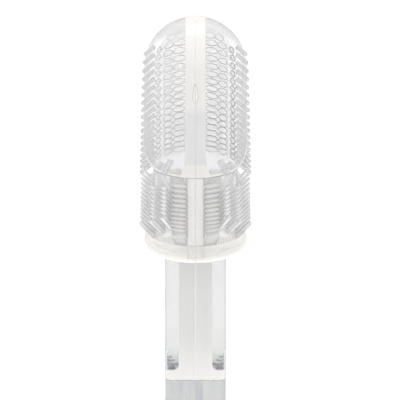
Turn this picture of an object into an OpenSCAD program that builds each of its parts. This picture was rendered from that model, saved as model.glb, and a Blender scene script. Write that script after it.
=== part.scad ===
// Clear silicone brush head, with rows of raked bristles all round a smooth front pad,
// pulled over the tongue of a clear rigid handle.
// Origin: middle of the flat at the handle's lower end. +Z runs up to the dome, -Y is the pad side.

/* [Handle] */
// Width of the handle and of the neck sleeve, side to side
stem_w = 12.2; // [11.6:0.2:13]
// Depth of the handle and of the neck sleeve, front to back
stem_d = 8; // [7.6:0.2:9]
// Radius of the long edges of the handle and sleeve
stem_edge_r = 1.2; // [1:0.2:2.2]
// Length of the bare handle below the sleeve
handle_len = 38; // [25:1:80]
// Radius of the corners at the handle's lower end
handle_end_r = 3; // [1:0.5:4]
// Width of the tongue inside the head
tongue_w = 4; // [3:0.2:4.2]
// Depth of the tongue inside the head
tongue_d = 3; // [2:0.2:4]
// Height of the tongue's tip above the underside of the collar
tongue_rise = 29.4; // [20:0.2:32]

/* [Neck sleeve] */
// Length of the sleeve below the collar
sleeve_len = 28; // [20:1:40]
// Width of the solid web between the side pockets
web_w = 6.6; // [6:0.2:7.4]
// Thickness of the clear skins in front of and behind the pockets
skin_t = 0.9; // [0.6:0.1:1.4]
// Height of the solid band below the pockets
band_h = 2.2; // [1.5:0.1:5]
// Radius of the corners at a pocket's lower end
pocket_r = 1.1; // [0.6:0.1:1.2]
// Height of the lip that closes a pocket's lower end at the side
pocket_lip_h = 4; // [2:0.5:6]

/* [Head] */
// Outer radius of the collar, the front pad and the dome
pad_r = 10.2; // [10:0.1:10.6]
// Radius of the wall that carries the bristles
wall_r = 8.4; // [8.2:0.1:8.6]
// Height of the dome's centre above the underside of the collar
dome_rise = 38.4; // [38:0.2:39.4]
// Height of the lowest part of the dome at the back
cap_rise = 42.6; // [42:0.2:43.4]
// Height of the pad's lower edge above the underside of the collar
pad_rise = 18.8; // [18.6:0.1:19.2]
// Radius of the pad's two lower corners
pad_corner_r = 3; // [1:0.5:5]
// Height of the collar
collar_h = 4; // [3.4:0.1:4.1]
// Radius of the collar's lower edge
collar_edge_r = 1; // [0.5:0.1:1.2]

/* [Ribs] */
// Width of the rib down the middle of the pad
pad_rib_w = 4; // [3:0.2:4.4]
// How far the pad's rib stands out
pad_rib_t = 0.2; // [0.1:0.05:0.5]
// Height of the foot that the pad's rib widens into
foot_h = 2.6; // [1.5:0.1:3.5]
// Width of that foot at its lower edge
foot_w = 6.4; // [5:0.2:8]
// Width of the ribs on the wall, below the pad and up the back
wall_rib_w = 3.2; // [2.4:0.2:3.2]

/* [Upper bristles] */
// Radius that the lowest tips reach
upper_tip_r = 11.1; // [10.9:0.1:11.6]
// Radius that the uppermost tips reach
upper_top_tip_r = 10.3; // [10.3:0.1:10.8]
// Angle of the bristles below the horizontal
upper_rake = 42; // [38:1:44]
// Thickness of the bristles
upper_t = 0.8; // [0.6:0.05:0.85]
// Number of rows
upper_rows = 18; // [16:1:18]
// Height of the uppermost tips above the underside of the collar
upper_top = 40.6; // [40.2:0.1:41]
// Drop from the first row to the second
upper_pitch = 1.9; // [1.88:0.01:1.92]
// How much of that drop each further row loses
upper_closing = 0.047; // [0.045:0.001:0.048]

/* [Lower bristles] */
// Radius that the lowest tips reach
lower_tip_r = 11.1; // [10.8:0.1:11.4]
// How much shorter each row's reach is than that of the row below
lower_tip_loss = 0.02; // [0:0.005:0.03]
// Angle of the bristles above the horizontal
lower_rake = 48; // [44:1:50]
// Thickness of the bristles
lower_t = 0.45; // [0.35:0.05:0.45]
// Thickness of the lowest bristle of each column
lowest_t = 0.9; // [0.5:0.05:1]
// Height of the lowest tips of all, at the sides, above the underside of the collar
lower_bottom = 5.6; // [5.5:0.1:5.8]
// Height from one row to the next at the bottom
lower_pitch = 0.75; // [0.74:0.01:0.77]
// How much of that height each further row gains
lower_opening = 0.034; // [0.03:0.002:0.036]

/* [Hidden] */
$fn = 64;
SIDES = ["left", "right"];
// [angle round from the back, width, first row, last row] of each upper column
UPPER = [
    [22.5, 2.7, 1, upper_rows - 1],
    [41, 2.2, 1, upper_rows - 1],
    [63, 1.8, 1, upper_rows - 1],
    [84, 1.2, 0, upper_rows - 1],
    // Single bristles below the pad's rounded corner
    [128, 1.5, 15, 15],
    [144, 1.4, 14, 14]
];
// [angle round from the front, width, rows, height above the lowest tips of all] of each lower column
LOWER = [[18, 3, 12, 1.1], [36, 1.4, 8, 4.3], [52, 1.5, 9, 2.6], [81, 1.3, 13, 0]];
// The same for the columns round the back
LOWER_BACK = [[157.5, 2.6, 7, 1.1], [139, 1.6, 7, 1.1], [117, 1.6, 8, 0.5]];

collar_z = handle_len + sleeve_len;
tongue_gap = 0.1;
tongue_end_gap = 0.3;
tongue_edge_r = 0.6;
pocket_side = 0.35;
bristle_corner_r = 0.5;
// Bristles start on a root strip that lies inside the wall
strip_in_r = 6.6;
strip_out_r = 7.4;
root_r = 7;
big = 60;
silicone_tint = [0.92, 0.93, 0.93, 0.55];
cream_tint = [0.95, 0.93, 0.89, 0.75];
plastic_tint = [0.82, 0.86, 0.88, 0.5];

function column_name(group, side, k) = str(group, "_bristles_", side, "_", k + 1);
function side_sign(side) = side == "left" ? -1 : 1;
// Height of an upper row's tips, with rows closing up towards the collar
function upper_tip_z(row) = upper_top - upper_pitch * row + upper_closing * row * row / 2;
// Radius of an upper row's tips, which grows quickly in the first rows under the dome
function upper_reach(row) =
    upper_top_tip_r + (upper_tip_r - upper_top_tip_r) * sqrt(row / (upper_rows - 1));
// Height of a lower row's tips above those of the column's lowest, thicker bristle
function lower_tip_z(row) =
    row == 0
        ? 0
        : (lowest_t - lower_t) / 2 / cos(lower_rake) + lower_pitch * row + lower_opening * row * row / 2;
function lower_reach(row) = lower_tip_r - lower_tip_loss * row;

module rounded_rect(w, d, r) {
    square([w - 2 * r, d], center = true);
    square([w, d - 2 * r], center = true);
    for (x = [-1, 1], y = [-1, 1])
        translate([x * (w / 2 - r), y * (d / 2 - r)])
            circle(r);
}

// Outline drawn in X and Z, extruded along Y through the whole part
module front_extrude(depth) {
    rotate([90, 0, 0])
        linear_extrude(depth, center = true)
            children();
}

// A round body with a domed top, standing on z = base
module domed(r, base) {
    translate([0, 0, base])
        cylinder(r = r, h = collar_z + dome_rise - base);
    translate([0, 0, collar_z + dome_rise])
        sphere(r);
}

// Rigid clear plastic: the bare handle and the tongue that the silicone slides over
module handle_core() {
    color(plastic_tint) {
        intersection() {
            linear_extrude(handle_len)
                rounded_rect(stem_w, stem_d, stem_edge_r);
            front_extrude(stem_d + 2)
                handle_outline();
        }
        translate([0, 0, handle_len - 1])
            linear_extrude(sleeve_len + tongue_rise + 1)
                rounded_rect(tongue_w, tongue_d, tongue_edge_r);
    }
}

module handle_outline() {
    translate([-stem_w / 2, handle_end_r])
        square([stem_w, handle_len - handle_end_r]);
    translate([-stem_w / 2 + handle_end_r, 0])
        square([stem_w - 2 * handle_end_r, handle_len]);
    for (x = [-1, 1])
        translate([x * (stem_w / 2 - handle_end_r), handle_end_r])
            circle(handle_end_r);
}

// The slot through the silicone that the tongue slides in
module tongue_slot() {
    translate([0, 0, handle_len - 1])
        linear_extrude(sleeve_len + tongue_rise + 1 + tongue_end_gap)
            rounded_rect(tongue_w + 2 * tongue_gap, tongue_d + 2 * tongue_gap, tongue_edge_r);
}

module neck_sleeve() {
    color(cream_tint)
        difference() {
            translate([0, 0, handle_len])
                linear_extrude(sleeve_len)
                    rounded_rect(stem_w, stem_d, stem_edge_r);
            tongue_slot();
            for (x = [0, 1])
                mirror([x, 0, 0])
                    front_extrude(stem_d - 2 * skin_t)
                        pocket_outline();
        }
}

// Side pocket: open at the side, but closed by a thin lip near its rounded lower end
module pocket_outline() {
    pocket_out = stem_w / 2 - pocket_side;
    floor_z = handle_len + band_h;
    translate([web_w / 2, floor_z + pocket_r])
        square([pocket_out - web_w / 2, sleeve_len]);
    translate([web_w / 2 + pocket_r, floor_z])
        square([pocket_out - web_w / 2 - 2 * pocket_r, sleeve_len]);
    for (x = [web_w / 2 + pocket_r, pocket_out - pocket_r])
        translate([x, floor_z + pocket_r])
            circle(pocket_r);
    translate([pocket_out - 1, floor_z + pocket_lip_h])
        square([2, sleeve_len]);
}

module collar() {
    color(cream_tint)
        translate([0, 0, collar_z])
            rotate_extrude()
                difference() {
                    union() {
                        translate([0, collar_edge_r])
                            square([pad_r, collar_h - collar_edge_r]);
                        square([pad_r - collar_edge_r, collar_h]);
                        translate([pad_r - collar_edge_r, collar_edge_r])
                            circle(collar_edge_r);
                    }
                    translate([-1, -1])
                        square([wall_r + 1, collar_h + 2]);
                    translate([-pad_r, -1])
                        square([pad_r, collar_h + 2]);
                }
}

// The round silicone wall that every bristle grows from
module head_body() {
    color(silicone_tint)
        difference() {
            domed(wall_r, collar_z);
            tongue_slot();
        }
}

module pad_outline(half_w, low) {
    translate([-half_w, low + pad_corner_r])
        square([2 * half_w, big]);
    translate([-half_w + pad_corner_r, low])
        square([2 * (half_w - pad_corner_r), big]);
    for (x = [-1, 1])
        translate([x * (half_w - pad_corner_r), low + pad_corner_r])
            circle(pad_corner_r);
}

// The smooth front half, which grows into the dome over the whole top
module dome_pad() {
    color(silicone_tint)
        difference() {
            domed(pad_r, collar_z);
            domed(wall_r, collar_z - 1);
            translate([-big / 2, 0, 0])
                cube([big, big / 2, collar_z + cap_rise]);
            difference() {
                translate([-big / 2, -big / 2, collar_z - 1])
                    cube([big, big, dome_rise]);
                front_extrude(big)
                    pad_outline(pad_r, collar_z + pad_rise);
            }
        }
}

// Low rib over the pad's middle, with a foot that widens at the pad's lower edge
module pad_rib() {
    color(cream_tint)
        intersection() {
            difference() {
                domed(pad_r + pad_rib_t, collar_z);
                domed(pad_r, collar_z - 1);
                translate([-big / 2, 0, 0])
                    cube([big, big / 2, collar_z + cap_rise]);
            }
            front_extrude(big)
                translate([0, collar_z + pad_rise]) {
                    translate([-pad_rib_w / 2, 0])
                        square([pad_rib_w, big]);
                    polygon([
                        [-foot_w / 2, 0],
                        [foot_w / 2, 0],
                        [pad_rib_w / 2, foot_h],
                        [-pad_rib_w / 2, foot_h]
                    ]);
                }
        }
}

// Rib on the wall, flush with the collar and the pad: side -1 is the front, 1 the back
module wall_rib(side, top) {
    intersection() {
        difference() {
            translate([0, 0, collar_z + collar_h])
                cylinder(r = pad_r, h = top - collar_h);
            translate([0, 0, collar_z])
                domed(wall_r, 0);
        }
        translate([-wall_rib_w / 2, side < 0 ? -big : 0, 0])
            cube([wall_rib_w, big, collar_z + top]);
        domed(pad_r, collar_z);
    }
}

module lower_rib() {
    color(silicone_tint)
        wall_rib(-1, pad_rise);
}

module back_rib() {
    color(silicone_tint)
        wall_rib(1, cap_rise);
}

// One flat bristle along +X from the root circle to its tip at radius reach and height 0,
// tilted by angle, which is positive where the tip is the lower end
module bristle(w, t, reach, angle) {
    length = (reach - root_r) / cos(angle);
    translate([reach, 0, 0])
        rotate([0, angle, 0])
            translate([-length, 0, 0])
                linear_extrude(t, center = true) {
                    translate([0, -w / 2])
                        square([length - bristle_corner_r, w]);
                    translate([0, -w / 2 + bristle_corner_r])
                        square([length, w - 2 * bristle_corner_r]);
                    for (y = [-1, 1])
                        translate([length - bristle_corner_r, y * (w / 2 - bristle_corner_r)])
                            circle(bristle_corner_r);
                }
}

// The strip from height low to height high that joins a column's roots
module root_strip(w, low, high) {
    translate([strip_in_r, -w / 2, collar_z + low])
        cube([strip_out_r - strip_in_r, w, high - low]);
}

module upper_column(side, k) {
    bearing = side_sign(side) * (180 - UPPER[k][0]);
    w = UPPER[k][1];
    first = UPPER[k][2];
    last = UPPER[k][3];
    color(silicone_tint)
        rotate([0, 0, bearing - 90]) {
            for (row = [first : last])
                translate([0, 0, collar_z + upper_tip_z(row)])
                    bristle(w, upper_t, upper_reach(row), upper_rake);
            root_strip(
                w,
                upper_tip_z(last) + (upper_reach(last) - root_r) * tan(upper_rake) - upper_t,
                upper_tip_z(first) + (upper_reach(first) - root_r) * tan(upper_rake)
            );
        }
}

module lower_column(side, rows_of) {
    bearing = side_sign(side) * rows_of[0];
    w = rows_of[1];
    last = rows_of[2] - 1;
    low = lower_bottom + rows_of[3];
    color(silicone_tint)
        rotate([0, 0, bearing - 90]) {
            for (row = [0 : last])
                translate([0, 0, collar_z + low + lower_tip_z(row)])
                    bristle(w, row == 0 ? lowest_t : lower_t, lower_reach(row), -lower_rake);
            root_strip(
                w,
                low - (lower_reach(0) - root_r) * tan(lower_rake),
                low + lower_tip_z(last) - (lower_reach(last) - root_r) * tan(lower_rake) + lower_t
            );
        }
}

handle_core();
neck_sleeve();
collar();
head_body();
dome_pad();
pad_rib();
lower_rib();
back_rib();
for (side = SIDES, k = [0 : len(UPPER) - 1])
    upper_column(side, k);
for (side = SIDES, k = [0 : len(LOWER) - 1])
    lower_column(side, LOWER[k]);
for (side = SIDES, k = [0 : len(LOWER_BACK) - 1])
    lower_column(side, LOWER_BACK[k]);
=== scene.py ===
import math

import bmesh
import bpy
from mathutils import Matrix, Vector


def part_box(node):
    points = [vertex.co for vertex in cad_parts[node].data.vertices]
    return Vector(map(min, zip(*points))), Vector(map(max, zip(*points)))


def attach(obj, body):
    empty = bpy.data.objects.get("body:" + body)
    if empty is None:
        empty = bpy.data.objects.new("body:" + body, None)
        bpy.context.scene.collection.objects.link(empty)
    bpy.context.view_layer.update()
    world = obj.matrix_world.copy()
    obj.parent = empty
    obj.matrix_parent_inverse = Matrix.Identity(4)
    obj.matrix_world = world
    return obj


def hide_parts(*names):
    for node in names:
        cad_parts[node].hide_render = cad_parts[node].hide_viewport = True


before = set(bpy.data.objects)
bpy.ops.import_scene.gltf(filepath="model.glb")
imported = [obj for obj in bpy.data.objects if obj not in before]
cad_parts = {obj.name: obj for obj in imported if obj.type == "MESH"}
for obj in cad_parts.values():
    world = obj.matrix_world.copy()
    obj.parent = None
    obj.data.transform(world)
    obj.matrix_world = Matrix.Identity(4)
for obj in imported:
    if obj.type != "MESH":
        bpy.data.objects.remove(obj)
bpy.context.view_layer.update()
MM = 0.001

# Places and sizes that the frame gives, in metres
COLLAR_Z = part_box("collar")[0].z
COLLAR_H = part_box("collar")[1].z - COLLAR_Z
PAD_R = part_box("collar")[1].x
WALL_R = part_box("head_body")[1].x
DOME_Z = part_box("head_body")[1].z - WALL_R
PAD_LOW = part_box("dome_pad")[0].z
SLEEVE_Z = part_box("neck_sleeve")[0].z
STEM_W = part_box("neck_sleeve")[1].x * 2
STEM_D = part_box("neck_sleeve")[1].y * 2

# Places and sizes from part.scad that no box shows
CAP_Z = COLLAR_Z + 42.6 * MM
COLLAR_EDGE_R = 1 * MM
PAD_CORNER_R = 3 * MM
PAD_RIB_OUT = 0.2 * MM
STEM_EDGE_R = 1.2 * MM
WEB_W = 6.6 * MM
POCKET_Z = SLEEVE_Z + 2.2 * MM

# The bristle columns as part.scad lays them out, in millimetres and degrees.
# (angle round from the back, width, first row, last row) of each upper column
UPPER = [
    (22.5, 2.7, 1, 17),
    (41, 2.2, 1, 17),
    (63, 1.8, 1, 17),
    (84, 1.2, 0, 17),
    (128, 1.5, 15, 15),
    (144, 1.4, 14, 14),
]
# (angle round from the front, width, rows, height above the lowest tips of all) of each lower column
LOWER = [(18, 3.0, 12, 1.1), (36, 1.4, 8, 4.3), (52, 1.5, 9, 2.6), (81, 1.3, 13, 0)]
# The same for the columns round the back
LOWER_BACK = [(157.5, 2.6, 7, 1.1), (139, 1.6, 7, 1.1), (117, 1.6, 8, 0.5)]
UPPER_RAKE = 42
UPPER_T = 0.8
UPPER_LAST_ROW = 17
UPPER_TOP = 40.6
UPPER_PITCH = 1.9
UPPER_CLOSING = 0.047
UPPER_TOP_REACH = 10.3
UPPER_REACH_GAIN = 0.8
LOWER_RAKE = 48
LOWER_T = 0.45
LOWEST_T = 0.9
LOWER_BOTTOM = 5.6
LOWER_PITCH = 0.75
LOWER_OPENING = 0.034
LOWER_REACH = 11.1
LOWER_REACH_LOSS = 0.02

# Keeps the bristle tips and the mould line inside the CAD model's box
INSET = 0.03 * MM
# From this power up, a bristle's section is square, and it is shaded flat
SQUARE_POWER = 4
ALONG_X = Vector((1, 0, 0))
ALONG_Y = Vector((0, 1, 0))
ALONG_Z = Vector((0, 0, 1))

SILICONE_IOR = 1.41
# Below silicone's own, so that the thin bars reflect less
BRISTLE_IOR = 1.3
PLASTIC_IOR = 1.49


# ---------- materials ----------

def new_material(name, rough, ior=None):
    material = bpy.data.materials.new(name)
    material.use_nodes = True
    nodes = material.node_tree.nodes
    links = material.node_tree.links
    shader = nodes["Principled BSDF"]
    shader.inputs["Roughness"].default_value = rough
    if ior:
        shader.inputs["IOR"].default_value = ior
    return material, nodes, links, shader


def noise(nodes, links, scale, detail, stretch=(1, 1, 1)):
    coord = nodes.new("ShaderNodeTexCoord")
    mapping = nodes.new("ShaderNodeMapping")
    mapping.inputs["Scale"].default_value = stretch
    tex = nodes.new("ShaderNodeTexNoise")
    tex.inputs["Scale"].default_value = scale
    tex.inputs["Detail"].default_value = detail
    links.new(coord.outputs["Object"], mapping.inputs["Vector"])
    links.new(mapping.outputs["Vector"], tex.inputs["Vector"])
    return tex.outputs["Fac"]


def place_parts(nodes, links):
    """X, Y and Z of the shaded point in the part's own frame, which is the CAD's frame at rest."""
    coord = nodes.new("ShaderNodeTexCoord")
    parts = nodes.new("ShaderNodeSeparateXYZ")
    links.new(coord.outputs["Object"], parts.inputs["Vector"])
    return parts.outputs["X"], parts.outputs["Y"], parts.outputs["Z"]


def height(nodes, links):
    """Z of the shaded point in the part's own frame."""
    return place_parts(nodes, links)[2]


def ramp(nodes, links, source, low, high, at_low=0.0, at_high=1.0, eased=False):
    node = nodes.new("ShaderNodeMapRange")
    node.interpolation_type = "SMOOTHSTEP" if eased else "LINEAR"
    node.inputs["From Min"].default_value = at_low
    node.inputs["From Max"].default_value = at_high
    node.inputs["To Min"].default_value = low
    node.inputs["To Max"].default_value = high
    links.new(source, node.inputs["Value"])
    return node.outputs["Result"]


def maths(nodes, links, operation, a, b):
    node = nodes.new("ShaderNodeMath")
    node.operation = operation
    for socket, value in zip(node.inputs, (a, b)):
        if isinstance(value, (int, float)):
            socket.default_value = value
        else:
            links.new(value, socket)
    return node.outputs[0]


def mix_colour(nodes, links, factor, a, b):
    node = nodes.new("ShaderNodeMix")
    node.data_type = "RGBA"
    links.new(factor, node.inputs["Factor"])
    node.inputs["A"].default_value = (*a, 1)
    node.inputs["B"].default_value = (*b, 1)
    return node.outputs["Result"]


def bump(nodes, links, shader, source, strength, distance):
    node = nodes.new("ShaderNodeBump")
    node.inputs["Strength"].default_value = strength
    node.inputs["Distance"].default_value = distance
    links.new(source, node.inputs["Height"])
    links.new(node.outputs["Normal"], shader.inputs["Normal"])


def outer_only(nodes, links):
    """1 on the outer skin of the pad and dome, 0 on the hidden face that is moulded to the wall."""
    x, y, z = place_parts(nodes, links)
    above = maths(nodes, links, "MAXIMUM", maths(nodes, links, "SUBTRACT", z, DOME_Z), 0.0)
    across = maths(nodes, links, "MULTIPLY", x, x)
    deep = maths(nodes, links, "MULTIPLY", y, y)
    flat = maths(nodes, links, "ADD", across, deep)
    square = maths(nodes, links, "ADD", flat, maths(nodes, links, "MULTIPLY", above, above))
    reach = maths(nodes, links, "SQRT", square, 0.0)
    middle = (PAD_R + WALL_R) / 2
    soft = 0.4 * MM
    return ramp(nodes, links, reach, 0, 1, middle - soft, middle + soft)


def bare_wall(nodes, links):
    """1 below the pad and nearly 1 on the back, 0 where the pad is moulded over the wall's front."""
    _, y, z = place_parts(nodes, links)
    below = ramp(nodes, links, z, 1, 0, PAD_LOW - 0.3 * MM, PAD_LOW + 0.3 * MM)
    behind = ramp(nodes, links, y, 0, 0.85, 0.5 * MM, 4.5 * MM, eased=True)
    return maths(nodes, links, "MAXIMUM", below, behind)


def pad_haze(nodes, links):
    """How much cloudier the moulding is over the dome's top and towards the pad's lower edge."""
    z = height(nodes, links)
    top = ramp(nodes, links, z, 0, 0.2, CAP_Z + 2 * MM, CAP_Z + 6 * MM, eased=True)
    low = ramp(nodes, links, z, 0.08, 0, PAD_LOW + 1 * MM, PAD_LOW + 5 * MM, eased=True)
    return maths(nodes, links, "ADD", top, low)


def above_sleeve_end(nodes, links):
    """1 along the sleeve, 0 on its lower end face."""
    z = height(nodes, links)
    return ramp(nodes, links, z, 0, 1, SLEEVE_Z + 0.05 * MM, SLEEVE_Z + 0.2 * MM)


def clear_silicone(name, colour, deep_colour, face_on, edge_on, cloud=0.03, glow=0.0,
                   edge_tone=0.5, edge_power=4.0, seen=None, haze_of=None):
    """Clear rubber, which is greyer and less see-through where the surface turns away.

    face_on and edge_on are its alpha face on and where it turns away. edge_tone is how bright the colour is
    there, from 0 to 1, and a lower edge_power makes that edge wider.
    seen is a function that gives 0 on faces that lie inside the moulding and 1 elsewhere.
    haze_of is a function that gives alpha to add."""
    material, nodes, links, shader = new_material(name, 0.25, SILICONE_IOR)
    # glow is an emission: painted light that lifts the shade on the rubber
    shader.inputs["Emission Strength"].default_value = glow
    shader.inputs["Emission Color"].default_value = (*deep_colour, 1)
    clouds = noise(nodes, links, 260, 3)
    weight = nodes.new("ShaderNodeLayerWeight")
    weight.inputs["Blend"].default_value = 0.5
    turned = maths(nodes, links, "POWER", weight.outputs["Facing"], edge_power)
    darker = nodes.new("ShaderNodeMix")
    darker.data_type = "RGBA"
    links.new(turned, darker.inputs["Factor"])
    links.new(mix_colour(nodes, links, clouds, colour, deep_colour), darker.inputs["A"])
    darker.inputs["B"].default_value = (*(edge_tone * c for c in colour), 1)
    links.new(darker.outputs["Result"], shader.inputs["Base Color"])
    body = ramp(nodes, links, turned, face_on, edge_on)
    haze = ramp(nodes, links, clouds, -cloud, cloud, 0.3, 0.7)
    alpha = maths(nodes, links, "ADD", body, haze)
    if haze_of:
        alpha = maths(nodes, links, "ADD", alpha, haze_of(nodes, links))
    if seen:
        alpha = maths(nodes, links, "MULTIPLY", alpha, seen(nodes, links))
    links.new(alpha, shader.inputs["Alpha"])
    bump(nodes, links, shader, noise(nodes, links, 900, 4), 0.05, 0.0002)
    return material


def collar_silicone(name):
    """The collar: pale, with faint flow arcs, clearer on its flat top, and brighter with a glow along its
    lower edge, which is painted light from the floor below.
    """
    material, nodes, links, shader = new_material(name, 0.25, SILICONE_IOR)
    z = height(nodes, links)
    arcs = noise(nodes, links, 420, 3, (0.12, 0.12, 2.2))
    # Painted light: low makes the lower edge brighter and gives it a glow, as the floor below would light it
    low = ramp(nodes, links, z, 1, 0, COLLAR_Z + 0.6 * MM, COLLAR_Z + 1.6 * MM)
    tone = maths(nodes, links, "ADD", ramp(nodes, links, arcs, 0, 1, 0.35, 0.65), low)
    colour = mix_colour(nodes, links, tone, (0.88, 0.88, 0.865), (1.0, 0.98, 0.94))
    links.new(colour, shader.inputs["Base Color"])
    links.new(maths(nodes, links, "MULTIPLY", low, 0.1), shader.inputs["Emission Strength"])
    shader.inputs["Emission Color"].default_value = (1, 0.98, 0.94, 1)
    top_z = COLLAR_Z + COLLAR_H
    top = ramp(nodes, links, z, 1, 0.3, top_z - 0.15 * MM, top_z)
    body = ramp(nodes, links, low, 0.55, 0.85)
    links.new(maths(nodes, links, "MULTIPLY", body, top), shader.inputs["Alpha"])
    bump(nodes, links, shader, arcs, 0.15, 0.0003)
    return material


def rib_silicone(name):
    """The pad's rib: cream at its foot and above the tip of the core's tongue, and cool grey in between.

    The grey is painted by height, and reaches above the tip, as it would look from a little above."""
    material, nodes, links, shader = new_material(name, 0.25, SILICONE_IOR)
    z = height(nodes, links)
    grey_end = (COLLAR_Z + 32.2 * MM, COLLAR_Z + 34.2 * MM)
    foot_end = (COLLAR_Z + 21.4 * MM, COLLAR_Z + 22 * MM)
    above = ramp(nodes, links, z, 0, 1, *grey_end)
    foot = ramp(nodes, links, z, 1, 0, *foot_end)
    cream_part = maths(nodes, links, "MAXIMUM", above, foot)
    streaks = noise(nodes, links, 500, 4, (1, 1, 0.15))
    tone = maths(nodes, links, "ADD", cream_part, ramp(nodes, links, streaks, -0.25, 0.25, 0.3, 0.7))
    colour = mix_colour(nodes, links, tone, (0.93, 0.933, 0.94), (0.95, 0.94, 0.915))
    links.new(colour, shader.inputs["Base Color"])
    links.new(ramp(nodes, links, cream_part, 0.6, 0.8), shader.inputs["Alpha"])
    bump(nodes, links, shader, streaks, 0.1, 0.0002)
    return material


def sleeve_silicone(name):
    """The sleeve's middle: grey where it is clear over the core, creamy towards its solid lower end."""
    material, nodes, links, shader = new_material(name, 0.3, SILICONE_IOR)
    z = height(nodes, links)
    streaks = noise(nodes, links, 700, 3, (1, 1, 0.03))
    creamy = ramp(nodes, links, z, 1, 0, SLEEVE_Z + 2 * MM, SLEEVE_Z + 20 * MM)
    tone = maths(nodes, links, "ADD", creamy, ramp(nodes, links, streaks, -0.3, 0.3, 0.3, 0.7))
    colour = mix_colour(nodes, links, tone, (0.93, 0.93, 0.92), (1.0, 0.99, 0.965))
    links.new(colour, shader.inputs["Base Color"])
    # Painted light: a faint glow near the lower end brightens the solid band
    glow = ramp(nodes, links, z, 0.11, 0, SLEEVE_Z + 1 * MM, SLEEVE_Z + 9 * MM)
    links.new(glow, shader.inputs["Emission Strength"])
    shader.inputs["Emission Color"].default_value = (1, 0.99, 0.97, 1)
    shader.inputs["Alpha"].default_value = 0.92
    bump(nodes, links, shader, streaks, 0.15, 0.0002)
    return material


def clear_plastic(name):
    """Rigid clear plastic: cool grey in its depth, with faint darker flow lines along the handle."""
    material, nodes, links, shader = new_material(name, 0.08, PLASTIC_IOR)
    shader.inputs["Transmission Weight"].default_value = 0.2
    streaks = ramp(nodes, links, noise(nodes, links, 600, 2, (1, 1, 0.05)), 0, 1, 0.45, 0.7)
    colour = mix_colour(nodes, links, streaks, (0.69, 0.692, 0.688), (0.46, 0.49, 0.52))
    links.new(colour, shader.inputs["Base Color"])
    weight = nodes.new("ShaderNodeLayerWeight")
    weight.inputs["Blend"].default_value = 0.3
    body = ramp(nodes, links, weight.outputs["Facing"], 0.6, 0.85)
    cloudy = maths(nodes, links, "MULTIPLY", streaks, 0.15)
    links.new(maths(nodes, links, "ADD", body, cloudy), shader.inputs["Alpha"])
    bump(nodes, links, shader, streaks, 0.1, 0.0002)
    return material


def pocket_shade(name, deep_colour, clear, deep):
    """The shadow that gathers in a pocket's lower end: clear above, cool grey below."""
    material, nodes, links, shader = new_material(name, 0.2)
    z = height(nodes, links)
    depth = ramp(nodes, links, z, 1, 0, POCKET_Z, POCKET_Z + 8 * MM)
    bands = noise(nodes, links, 800, 1, (0.4, 0.4, 1))
    tone = maths(nodes, links, "MULTIPLY", depth, ramp(nodes, links, bands, 0.7, 1.0, 0.35, 0.6))
    links.new(mix_colour(nodes, links, tone, (0.85, 0.86, 0.87), deep_colour), shader.inputs["Base Color"])
    gathered = maths(nodes, links, "POWER", depth, 3.0)
    links.new(ramp(nodes, links, gathered, clear, deep), shader.inputs["Alpha"])
    return material


def bristle_silicone(name, colours, alphas, glows, clear, rough):
    """Clear rubber in thin bars: flats, sides and tips get colours of their own, which paint the light and
    shade on them, and darker lines where they meet, which paint shadowed gaps and refraction outlines.

    colours holds flat, side and line colour; alphas flat and side alpha and what a line adds; glows flat and
    side emission, painted light that lifts the shade in dense clusters. clear is how much light goes through."""
    material, nodes, links, shader = new_material(name, rough, BRISTLE_IOR)
    shader.inputs["Transmission Weight"].default_value = clear
    corner = nodes.new("ShaderNodeAttribute")
    corner.attribute_name = "corner"
    side = nodes.new("ShaderNodeAttribute")
    side.attribute_name = "side"
    tone = mix_colour(nodes, links, side.outputs["Fac"], colours[0], colours[1])
    lined = nodes.new("ShaderNodeMix")
    lined.data_type = "RGBA"
    links.new(corner.outputs["Fac"], lined.inputs["Factor"])
    links.new(tone, lined.inputs["A"])
    lined.inputs["B"].default_value = (*colours[2], 1)
    links.new(lined.outputs["Result"], shader.inputs["Base Color"])
    links.new(lined.outputs["Result"], shader.inputs["Emission Color"])
    links.new(ramp(nodes, links, side.outputs["Fac"], *glows), shader.inputs["Emission Strength"])
    body = ramp(nodes, links, side.outputs["Fac"], alphas[0], alphas[1])
    body = maths(nodes, links, "ADD", body, maths(nodes, links, "MULTIPLY", corner.outputs["Fac"], alphas[2]))
    haze = ramp(nodes, links, noise(nodes, links, 450, 2), -0.05, 0.05, 0.3, 0.7)
    links.new(maths(nodes, links, "ADD", body, haze), shader.inputs["Alpha"])
    bump(nodes, links, shader, noise(nodes, links, 1500, 2), 0.05, 0.0001)
    return material


# ---------- mesh helpers ----------

def mesh_object(name, bm, material, smooth=True):
    bmesh.ops.recalc_face_normals(bm, faces=bm.faces)
    mesh = bpy.data.meshes.new(name)
    bm.to_mesh(mesh)
    bm.free()
    for polygon in mesh.polygons:
        polygon.use_smooth = smooth
    piece = bpy.data.objects.new(name, mesh)
    bpy.context.scene.collection.objects.link(piece)
    mesh.materials.append(material)
    return piece


def superellipse(w, d, power, count):
    """A rounded flat section, w wide along Y, d deep along Z: (y, z, nearness to a corner) of each point."""
    points = []
    for i in range(count):
        a = 2 * math.pi * (i + 0.5) / count
        c, s = math.cos(a), math.sin(a)
        corner = max(0.0, abs(math.sin(2 * a)) * 1.45 - 0.45)
        points.append((math.copysign(abs(c) ** (2 / power), c) * w / 2,
                       math.copysign(abs(s) ** (2 / power), s) * d / 2, corner))
    return points


def skin_rings(bm, rings, closed=False):
    """Joins rings of vertices into one skin, which meets itself if closed, or else has two end faces."""
    count = len(rings[0])
    loop = rings + rings[:1] if closed else rings
    for a, b in zip(loop, loop[1:]):
        for i in range(count):
            j = (i + 1) % count
            bm.faces.new((a[i], a[j], b[j], b[i]))
    if not closed:
        bm.faces.new(rings[-1])
        bm.faces.new(list(reversed(rings[0])))


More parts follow.
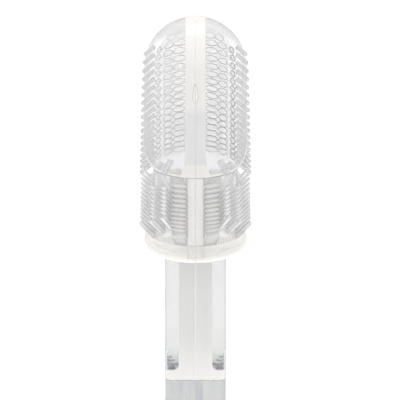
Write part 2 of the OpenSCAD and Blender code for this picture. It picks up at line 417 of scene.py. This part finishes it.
def add_bristle(bm, place, w, t, length, root_swell, tip_round, power, edge_line):
    """A bristle along +X of place with a swollen root and a tip rounded over tip_round.

    edge_line says how dark its long edges are."""
    start = -0.15 * MM
    body = length - tip_round
    rim_line = 0.6 if power < SQUARE_POWER else 0.0
    stations = [
        (start, root_swell, 0),
        (start + 0.3 * t, 1 + (root_swell - 1) * 0.4, 0),
        (start + 0.9 * t, 1, 0),
    ]
    stations += [(body * f, 1, 0) for f in (0.5, 0.8, 1.0)]
    steps = 5
    for k in range(1, steps + 1):
        a = math.pi / 2 * k / (steps + 0.6)
        stations.append((body + tip_round * math.sin(a), 1, tip_round * (1 - math.cos(a))))
    layers = bm.verts.layers.float
    corner_layer = layers["corner"]
    side_layer = layers["side"]
    rings = []
    for x, swell, trim in stations:
        ring_w = w * (1 + (swell - 1) * 0.4) - 2 * trim
        ring_t = max(t * swell - 2 * trim, 0.12 * t)
        at_tip_rim = 0 < trim < tip_round * 0.5
        ring = []
        for y, z, corner in superellipse(ring_w, ring_t, power, 20):
            vert = bm.verts.new(place @ Vector((x, y, z)))
            vert[corner_layer] = rim_line if at_tip_rim else corner * edge_line
            turned = 0.5 + 2.5 * (abs(y) / ring_w - abs(z) / ring_t)
            vert[side_layer] = 1.0 if trim > 0 else max(0.0, min(1.0, turned))
            ring.append(vert)
        rings.append(ring)
    skin_rings(bm, rings)


def add_root_bead(bm, turn, r, z, w, h, thick):
    """The thin raised outline round a bristle's root, w wide and h high, on the wall at radius r."""
    corner_layer = bm.verts.layers.float["corner"]
    side_layer = bm.verts.layers.float["side"]
    count = 20
    sides = 6
    rings = []
    for k in range(count):
        a = 2 * math.pi * k / count
        across = w / 2 * math.cos(a)
        middle = Vector((math.sqrt(r * r - across * across), across, z + h / 2 * math.sin(a)))
        out = Vector((middle.x, middle.y, 0)).normalized()
        flat = Vector((0, math.cos(a) / w, math.sin(a) / h)).normalized()
        ring = []
        for j in range(sides):
            b = 2 * math.pi * j / sides
            vert = bm.verts.new(turn @ (middle + thick / 2 * (out * math.cos(b) + flat * math.sin(b))))
            vert[corner_layer] = 1.0
            vert[side_layer] = 1.0
            ring.append(vert)
        rings.append(ring)
    skin_rings(bm, rings, closed=True)


def add_tube(bm, points, across, w, t, closed=False, sides=10):
    """A bar along points, w wide and t thick. across is the direction of its width, or one for each point."""
    count = len(points)
    if isinstance(across, Vector):
        across = [across] * count
    rings = []
    for i, point in enumerate(points):
        after = points[(i + 1) % count] if closed or i < count - 1 else point
        before = points[i - 1] if closed or i > 0 else point
        along = (after - before).normalized()
        side = (across[i] - along * across[i].dot(along)).normalized()
        up = along.cross(side)
        ring = []
        for k in range(sides):
            a = 2 * math.pi * k / sides
            ring.append(bm.verts.new(point + side * (w / 2 * math.cos(a)) + up * (t / 2 * math.sin(a))))
        rings.append(ring)
    skin_rings(bm, rings, closed)


def wall_reach(z):
    """The wall's radius at height z."""
    return math.sqrt(WALL_R ** 2 - max(z - DOME_Z, 0) ** 2)


def bristle_column(name, material, bearing, w, rake, bars, root_swell, tip_round, power, bead,
                   extra_root=None):
    """One column of bristles. bars holds (height, radius, thickness) of each tip; bearing is from the front.

    bead is the thickness of the outline round each root, or 0. It stands for the dark ovals that refraction
    draws there. extra_root is the height of one more outline, on the dome, that has no bristle."""
    bm = bmesh.new()
    bm.verts.layers.float.new("corner")
    bm.verts.layers.float.new("side")
    angle = math.radians(rake)
    turn = Matrix.Rotation(math.radians(bearing - 90), 4, "Z")
    for z, reach, t in bars:
        root_z = z + (reach - WALL_R) * math.tan(angle)
        length = (reach - WALL_R) / math.cos(angle) - INSET
        place = turn @ Matrix.Translation((WALL_R, 0, root_z)) @ Matrix.Rotation(angle, 4, "Y")
        add_bristle(bm, place, w, t, length, root_swell, tip_round, power, 0.15 if bead else 1.0)
        if bead:
            bead_h = t / math.cos(angle) + 0.15 * MM
            add_root_bead(bm, turn, wall_reach(root_z), root_z, w + 0.1 * MM, bead_h, bead)
    if extra_root:
        extra_h = 1.3 * MM
        add_root_bead(bm, turn, wall_reach(extra_root), extra_root, w, extra_h, bead)
    return mesh_object(name, bm, material, smooth=power < SQUARE_POWER)


# ---------- camera, light and floor ----------

def aim(obj, target):
    obj.rotation_euler = (Vector(target) - obj.location).to_track_quat("-Z", "Y").to_euler()


def camera():
    data = bpy.data.cameras.new("camera")
    cam = bpy.data.objects.new("camera", data)
    bpy.context.scene.collection.objects.link(cam)
    view_w = 80 * MM
    distance = 2.5
    elevation = math.radians(23)
    target = Vector((0.9 * MM, 0, COLLAR_Z + 9.7 * MM))
    cam.location = target + distance * Vector((0, -math.cos(elevation), math.sin(elevation)))
    aim(cam, target)
    data.sensor_width = 36
    data.lens = data.sensor_width * distance / view_w
    data.clip_start = 0.01
    data.clip_end = 20
    bpy.context.scene.camera = cam


def area_light(name, place, target, size, power):
    data = bpy.data.lights.new(name, "AREA")
    data.shape = "DISK"
    data.size = size
    data.energy = power
    lamp = bpy.data.objects.new(name, data)
    bpy.context.scene.collection.objects.link(lamp)
    lamp.location = place
    aim(lamp, target)


def white_tent():
    """A soft white tent that is darker towards the front, where a camera would stand."""
    front = 0.8
    back = 0.92
    world = bpy.data.worlds.new("world")
    bpy.context.scene.world = world
    world.use_nodes = True
    nodes = world.node_tree.nodes
    links = world.node_tree.links
    coord = nodes.new("ShaderNodeTexCoord")
    parts = nodes.new("ShaderNodeSeparateXYZ")
    links.new(coord.outputs["Generated"], parts.inputs["Vector"])
    glow = ramp(nodes, links, parts.outputs["Y"], front, back, -0.9, 0.1)
    links.new(glow, nodes["Background"].inputs["Strength"])
    nodes["Background"].inputs["Color"].default_value = (1, 1, 1, 1)


def studio():
    scene = bpy.context.scene
    scene.view_settings.view_transform = "Standard"
    scene.cycles.transparent_max_bounces = 64
    scene.cycles.transmission_bounces = 24
    scene.cycles.max_bounces = 32
    white_tent()
    middle = (0, 0, 0.07)
    area_light("key_left", (-0.5, -0.35, 0.55), middle, 0.35, 0.5)
    area_light("key_right", (0.55, -0.25, 0.5), middle, 0.35, 0.4)
    area_light("top", (0, 0.3, 0.8), middle, 0.5, 1.4)
    bm = bmesh.new()
    bmesh.ops.create_grid(bm, x_segments=8, y_segments=8, size=3)
    material, _, _, shader = new_material("floor", 0.9)
    shader.inputs["Base Color"].default_value = (0.95, 0.95, 0.95, 1)
    floor = mesh_object("floor", bm, material)


camera()
studio()

# The wall's glow is painted light, which lifts the shade below the pad's edge
wall = clear_silicone("wall_silicone", (0.78, 0.78, 0.775), (0.84, 0.84, 0.835), 0.34, 0.6,
                      glow=0.1, seen=bare_wall)
dome = clear_silicone("dome_silicone", (0.65, 0.65, 0.65), (0.76, 0.76, 0.76), 0.25, 0.95,
                      cloud=0.07, seen=outer_only, haze_of=pad_haze)
cream = clear_silicone("cream_silicone", (0.93, 0.91, 0.88), (0.97, 0.96, 0.94), 0.5, 0.8)
skin = clear_silicone("sleeve_skin_silicone", (0.74, 0.745, 0.75), (0.78, 0.78, 0.785), 0.2, 0.85,
                      cloud=0.01, edge_tone=0.45, edge_power=2.6, seen=above_sleeve_end)
# The seam's faint glow is painted light
seam = clear_silicone("seam_silicone", (0.8, 0.79, 0.77), (0.86, 0.85, 0.83), 0.4, 0.6, glow=0.05)
outline = clear_silicone("outline_silicone", (0.5, 0.5, 0.5), (0.62, 0.62, 0.61), 0.5, 0.7)
# The rims' glow is painted light that brightens them
bright = clear_silicone("bright_silicone", (0.97, 0.945, 0.915), (0.99, 0.97, 0.94), 0.7, 0.9,
                        glow=0.08, edge_tone=0.85)
# The mould line's glow is painted light that makes it bright
line = clear_silicone("line_silicone", (0.97, 0.97, 0.96), (0.99, 0.99, 0.98), 0.5, 0.5,
                      glow=0.2, edge_tone=1.0)
strip = clear_silicone("strip_silicone", (0.95, 0.94, 0.92), (0.98, 0.97, 0.95), 0.2, 0.5, edge_tone=0.8)
glow_rib = clear_silicone("lower_rib_silicone", (0.98, 0.97, 0.95), (1.0, 0.99, 0.975), 0.75, 0.9)
ring = collar_silicone("collar_silicone")
rib = rib_silicone("rib_silicone")
web = sleeve_silicone("web_silicone")
# Painted shade: the grey shade in the pockets' lower ends, and the near-black bars there
shade = pocket_shade("pocket_shade", (0.36, 0.42, 0.5), 0.02, 0.5)
bar_shade = pocket_shade("pocket_bar_shade", (0.02, 0.04, 0.08), 0.8, 1.0)
plastic = clear_plastic("clear_plastic")


def upper_silicone(side, line_colour, line_alpha):
    colours = ((0.95, 0.95, 0.95), (0.88, 0.88, 0.885), line_colour)
    alphas = (0.15, 0.3, line_alpha)
    return bristle_silicone(f"upper_bristle_silicone_{side}", colours, alphas, (0.12, 0.12), 0.5, 0.15)


# The root outlines on the right are darker, for the stronger refraction marks seen there
upper_bristles = {
    "left": upper_silicone("left", (0.48, 0.485, 0.5), 0.4),
    "right": upper_silicone("right", (0.34, 0.345, 0.37), 0.42),
}
side_bristle = bristle_silicone("side_bristle_silicone",
                                ((0.95, 0.95, 0.955), (0.8, 0.8, 0.81), (0.5, 0.505, 0.52)),
                                (0.4, 0.7, 0.2), (0.1, 0.1), 0.4, 0.15)
lower_bristle = bristle_silicone("lower_bristle_silicone",
                                 ((0.9, 0.9, 0.9), (0.79, 0.79, 0.795), (0.45, 0.45, 0.465)),
                                 (0.93, 0.97, 0.03), (0.15, 0.12), 0.1, 0.35)
# The front bars' flats, their lower faces, are darker than their sides: painted shade
front_bristle = bristle_silicone("front_bristle_silicone",
                                 ((0.76, 0.76, 0.755), (0.82, 0.82, 0.81), (0.55, 0.55, 0.56)),
                                 (0.75, 0.85, 0.05), (0.14, 0.1), 0.2, 0.5)

for node, material in (("handle_core", plastic), ("neck_sleeve", skin), ("collar", ring),
                       ("head_body", wall), ("dome_pad", dome), ("pad_rib", rib),
                       ("lower_rib", glow_rib), ("back_rib", cream)):
    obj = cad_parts[node]
    obj.data.materials.clear()
    obj.data.materials.append(material)


# ---------- pieces ----------

def upper_bars(first, last):
    """(height, radius, thickness) of each tip; rows close up and reach out further towards the collar."""
    bars = []
    for row in range(first, last + 1):
        z = UPPER_TOP - UPPER_PITCH * row + UPPER_CLOSING * row * row / 2
        reach = UPPER_TOP_REACH + UPPER_REACH_GAIN * math.sqrt(row / UPPER_LAST_ROW)
        bars.append((COLLAR_Z + z * MM, reach * MM, UPPER_T * MM))
    return bars


def lower_bars(rows, above):
    """The same for a lower column, whose lowest bristle is the thickest."""
    low = LOWER_BOTTOM + above
    thicker = (LOWEST_T - LOWER_T) / 2 / math.cos(math.radians(LOWER_RAKE))
    bars = [(COLLAR_Z + low * MM, LOWER_REACH * MM, LOWEST_T * MM)]
    for row in range(1, rows):
        step = thicker + LOWER_PITCH * row + LOWER_OPENING * row * row / 2
        reach = LOWER_REACH - LOWER_REACH_LOSS * row
        bars.append((COLLAR_Z + (low + step) * MM, reach * MM, LOWER_T * MM))
    return bars


def finish_piece(piece, node):
    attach(piece, "brush_head")
    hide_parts(node)


def on_pad(x, z, lift=0.0):
    """A point of the pad's front face, or of the dome above it, at x and height z."""
    r = PAD_R + lift
    if z > DOME_Z:
        r = math.sqrt(max(r * r - (z - DOME_Z) ** 2, 0))
    return Vector((x, -math.sqrt(max(r * r - x * x, 0)), z))


def pad_rim(name, out, w, material):
    """A bead w thick along the pad's sides and lower edge. Its lower stretch lies out below that edge."""
    steps = 12
    half_w = PAD_R - 0.05 * MM
    r = PAD_CORNER_R + out
    low = PAD_LOW - out
    top = PAD_LOW + 12 * MM
    outline_points = [(-half_w, top + (low + r - top) * k / steps) for k in range(steps)]
    for k in range(steps + 1):
        a = math.pi / 2 * k / steps
        outline_points.append((-half_w + r * (1 - math.cos(a)), low + r * (1 - math.sin(a))))
    outline_points += [(-half_w + r + k * MM, low) for k in range(1, 7)]
    outline_points += [(-x, z) for x, z in reversed(outline_points)]
    lift = 0.2 * MM
    points = [Vector((x, -math.sqrt(max(half_w ** 2 - x * x, 0)), z + lift)) for x, z in outline_points]
    bm = bmesh.new()
    add_tube(bm, points, [Vector((p.x, p.y, 0)) for p in points], 0.3 * MM, w)
    return mesh_object(name, bm, material)


def parting_line():
    """The fine mould line down the front: over the dome, the pad's rib, the lower rib and the collar."""
    r = PAD_R + PAD_RIB_OUT - INSET
    edge = COLLAR_EDGE_R
    points = []
    for degrees in range(4, 90, 4):
        a = math.radians(degrees)
        points.append(Vector((0, -r * math.sin(a), DOME_Z + r * math.cos(a))))
    for z in (DOME_Z, (DOME_Z + PAD_LOW) / 2, PAD_LOW + 0.1 * MM):
        points.append(Vector((0, -r, z)))
    for z in (PAD_LOW - 0.1 * MM, COLLAR_Z + COLLAR_H, COLLAR_Z + edge):
        points.append(Vector((0, -PAD_R, z)))
    for degrees in range(15, 91, 15):
        a = math.radians(degrees)
        points.append(Vector((0, -PAD_R + edge * (1 - math.cos(a)), COLLAR_Z + edge * (1 - math.sin(a)))))
    bm = bmesh.new()
    add_tube(bm, points, ALONG_X, 0.16 * MM, 0.1 * MM)
    return mesh_object("parting_line", bm, seam)


def stem_line():
    """The fine bright mould line down the sleeve."""
    heights = (COLLAR_Z, COLLAR_Z - 6 * MM, SLEEVE_Z + 8 * MM, SLEEVE_Z + 0.1 * MM)
    points = [Vector((0, -STEM_D / 2, z)) for z in heights]
    bm = bmesh.new()
    add_tube(bm, points, ALONG_X, 0.1 * MM, 0.06 * MM)
    return mesh_object("stem_line", bm, line)


def sleeve_edges():
    """The fine grey lines painted where the sleeve's flat sides turn into its rounded edges, for the dark
    outline that refraction draws there.
    """
    heights = (COLLAR_Z, COLLAR_Z - 9 * MM, COLLAR_Z - 18 * MM, SLEEVE_Z + 0.1 * MM)
    bm = bmesh.new()
    for sign_x in (-1, 1):
        for sign_y in (-1, 1):
            x = sign_x * (STEM_W / 2 - 0.04 * MM)
            y = sign_y * (STEM_D / 2 - STEM_EDGE_R)
            points = [Vector((x, y, z)) for z in heights]
            add_tube(bm, points, ALONG_Y, 0.2 * MM, 0.06 * MM, sides=6)
    return mesh_object("sleeve_edges", bm, outline)


def gate_mark():
    """The pointed oval that the mould's gate leaves on the pad's rib."""
    middle = DOME_Z - 1.4 * MM
    count = 28
    points = []
    for k in range(count):
        a = 2 * math.pi * k / count
        x = 0.5 * MM * math.sin(a) * (1 - 0.35 * math.cos(a))
        points.append(on_pad(x, middle + 2.1 * MM * math.cos(a), PAD_RIB_OUT))
    bm = bmesh.new()
    add_tube(bm, points, Vector((1, 0, 0.3)), 0.14 * MM, 0.1 * MM, closed=True, sides=6)
    return mesh_object("gate_mark", bm, seam)


def collar_bead():
    """The bright raised ring where the collar's side meets its rounded lower edge."""
    z = COLLAR_Z + 1.1 * MM
    count = 96
    points = []
    for k in range(count):
        a = 2 * math.pi * k / count
        points.append(Vector((PAD_R * math.cos(a), PAD_R * math.sin(a), z)))
    bm = bmesh.new()
    add_tube(bm, points, [Vector((p.x, p.y, 0)) for p in points], 0.12 * MM, 0.35 * MM, closed=True)
    return mesh_object("collar_bead", bm, bright)


def flow_lines():
    """Faint raised arcs where the rubber flowed round the collar."""
    # (height of its ends, how much higher its middle is, first and last bearing) of each arc
    arcs = (
        (1.9, 0.5, 24, 62),
        (2.7, -0.4, 30, 78),
        (2.3, 0.3, -20, -48),
        (3.1, -0.5, -38, -80),
        (1.6, 0.2, -52, -84),
    )
    steps = 15
    bm = bmesh.new()
    for low, rise, start, end in arcs:
        points = []
        for k in range(steps + 1):
            a = math.radians(start + (end - start) * k / steps)
            z = COLLAR_Z + (low + rise * math.sin(math.pi * k / steps)) * MM
            points.append(Vector((PAD_R * math.sin(a), -PAD_R * math.cos(a), z)))
        add_tube(bm, points, ALONG_Z, 0.12 * MM, 0.08 * MM, sides=6)
    return mesh_object("collar_flow_lines", bm, seam)


def sleeve_middle():
    """The sleeve's thick middle and its solid lower band, joined by round corners in the pockets' ends."""
    inset = 0.05 * MM
    half_w = STEM_W / 2 - inset
    edge_r = STEM_EDGE_R - inset
    corner = 1.3 * MM
    half_web = WEB_W / 2
    right = [0, 1 * MM, 2 * MM, half_web - 0.12 * MM, half_web, half_web + 0.03 * MM]
    right += [half_web + corner * f for f in (0.15, 0.35, 0.6, 1.0)]
    right += [half_w - edge_r + edge_r * math.sin(math.radians(a)) for a in range(15, 91, 15)]
    xs = sorted({-x for x in right} | set(right))
    bm = bmesh.new()
    sections = []
    for x in xs:
        beyond = max(abs(x) - (half_w - edge_r), 0)
        half_d = STEM_D / 2 - inset - (edge_r - math.sqrt(max(edge_r ** 2 - beyond ** 2, 0)))
        into = min(max(abs(x) - half_web, 0), corner)
        if abs(x) <= half_web:
            top = COLLAR_Z - inset
        else:
            top = POCKET_Z + corner - math.sqrt(corner ** 2 - (corner - into) ** 2)
        # The lower edge is a little uneven
        low = SLEEVE_Z + inset + 0.12 * MM * math.sin(x / MM * 2.1) ** 2
        corners = ((-half_d, low), (-half_d, top), (half_d, top), (half_d, low))
        sections.append([bm.verts.new((x, y, z)) for y, z in corners])
    skin_rings(bm, sections)
    return mesh_object("sleeve_middle", bm, web, smooth=False)


def pocket_pieces(side, sign):
    """Dark bars at a pocket's lower end and the painted shade above them, which paint the shadow and
    refraction there.
    """
    # (height above the pocket's floor, thickness, where it starts and ends across the pocket) of each dark
    # bar
    rows = (
        (0.45, 0.7, 0.35, 0.95),
        (1.25, 0.45, 0.0, 1.0),
        (2.1, 0.25, 0.35, 1.0),
        (2.9, 0.2, 0.6, 1.0),
    )
    near = WEB_W / 2 + 0.15 * MM
    far = STEM_W / 2 - 0.45 * MM
    bar_y = -3.4 * MM
    shade_y = -3.1 * MM
    steps = 6
    shade_bars = bmesh.new()
    for up, thick, start, end in rows:
        points = []
        for k in range(steps + 1):
            x = near + (far - near) * (start + (end - start) * k / steps)
            droop = 0.25 * MM * math.sin(math.pi * k / steps)
            points.append(Vector((sign * x, bar_y, POCKET_Z + up * MM - droop)))
        add_tube(shade_bars, points, ALONG_Y, 0.3 * MM, thick * MM)
    shade_sheet = bmesh.new()
    middle = sign * (near + far) / 2
    points = [Vector((middle, shade_y, POCKET_Z + z * MM)) for z in (0.1, 0.3, 1, 3, 6, 9)]
    add_tube(shade_sheet, points, ALONG_X, far - near, 0.3 * MM, sides=14)
    return [
        mesh_object(f"pocket_shade_bars_{side}", shade_bars, bar_shade),
        mesh_object(f"pocket_shade_{side}", shade_sheet, shade),
    ]


def front_strip():
    """The lower rib's flush continuation over the collar, and the rib's two raised edges."""
    half = 1.55 * MM
    heights = (COLLAR_Z + 1.2 * MM, COLLAR_Z + 5 * MM, PAD_LOW - 5 * MM, PAD_LOW)
    bm = bmesh.new()
    points = [Vector((0, -PAD_R - 0.02 * MM, COLLAR_Z + z * MM)) for z in (1.2, 1.5, 2.5, 3.5, 4.2)]
    add_tube(bm, points, ALONG_X, 2 * half, 0.12 * MM, sides=16)
    y = -math.sqrt(PAD_R ** 2 - half ** 2)
    for x in (-half, half):
        points = [Vector((x, y, z)) for z in heights]
        add_tube(bm, points, ALONG_X, 0.25 * MM, 0.2 * MM)
    return mesh_object("front_strip", bm, strip)


def root_bead(side, k):
    """The thickness of upper column k's root outlines. Only the first three columns show through the pad."""
    if k > 2:
        return 0
    return 0.24 * MM if side == "right" and k == 2 else 0.16 * MM


trim = [
    sleeve_middle(),
    *pocket_pieces("left", -1),
    *pocket_pieces("right", 1),
    pad_rim("pad_rim", 0, 0.5 * MM, bright),
    pad_rim("pad_rim_groove", 0.35 * MM, 0.15 * MM, outline),
    parting_line(),
    stem_line(),
    sleeve_edges(),
    gate_mark(),
    front_strip(),
    flow_lines(),
    collar_bead(),
]
for piece in trim:
    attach(piece, "brush_head")

for side, sign in (("left", -1), ("right", 1)):
    for k, (back, w, first, last) in enumerate(UPPER):
        material = upper_bristles[side] if k < 3 else side_bristle
        piece = bristle_column(f"upper_column_{side}_{k + 1}", material, sign * (180 - back), w * MM,
                               UPPER_RAKE, upper_bars(first, last), root_swell=1.15, tip_round=0.35 * MM,
                               power=2.6, bead=root_bead(side, k), extra_root=CAP_Z if k < 2 else None)
        finish_piece(piece, f"upper_bristles_{side}_{k + 1}")
    for group, rows_of in (("lower", LOWER), ("back", LOWER_BACK)):
        for k, (front, w, rows, above) in enumerate(rows_of):
            material = front_bristle if w > 2 else lower_bristle
            piece = bristle_column(f"{group}_column_{side}_{k + 1}", material, sign * front, w * MM,
                                   -LOWER_RAKE, lower_bars(rows, above), root_swell=1.05,
                                   tip_round=0.1 * MM, power=7, bead=0)
            finish_piece(piece, f"{group}_bristles_{side}_{k + 1}")
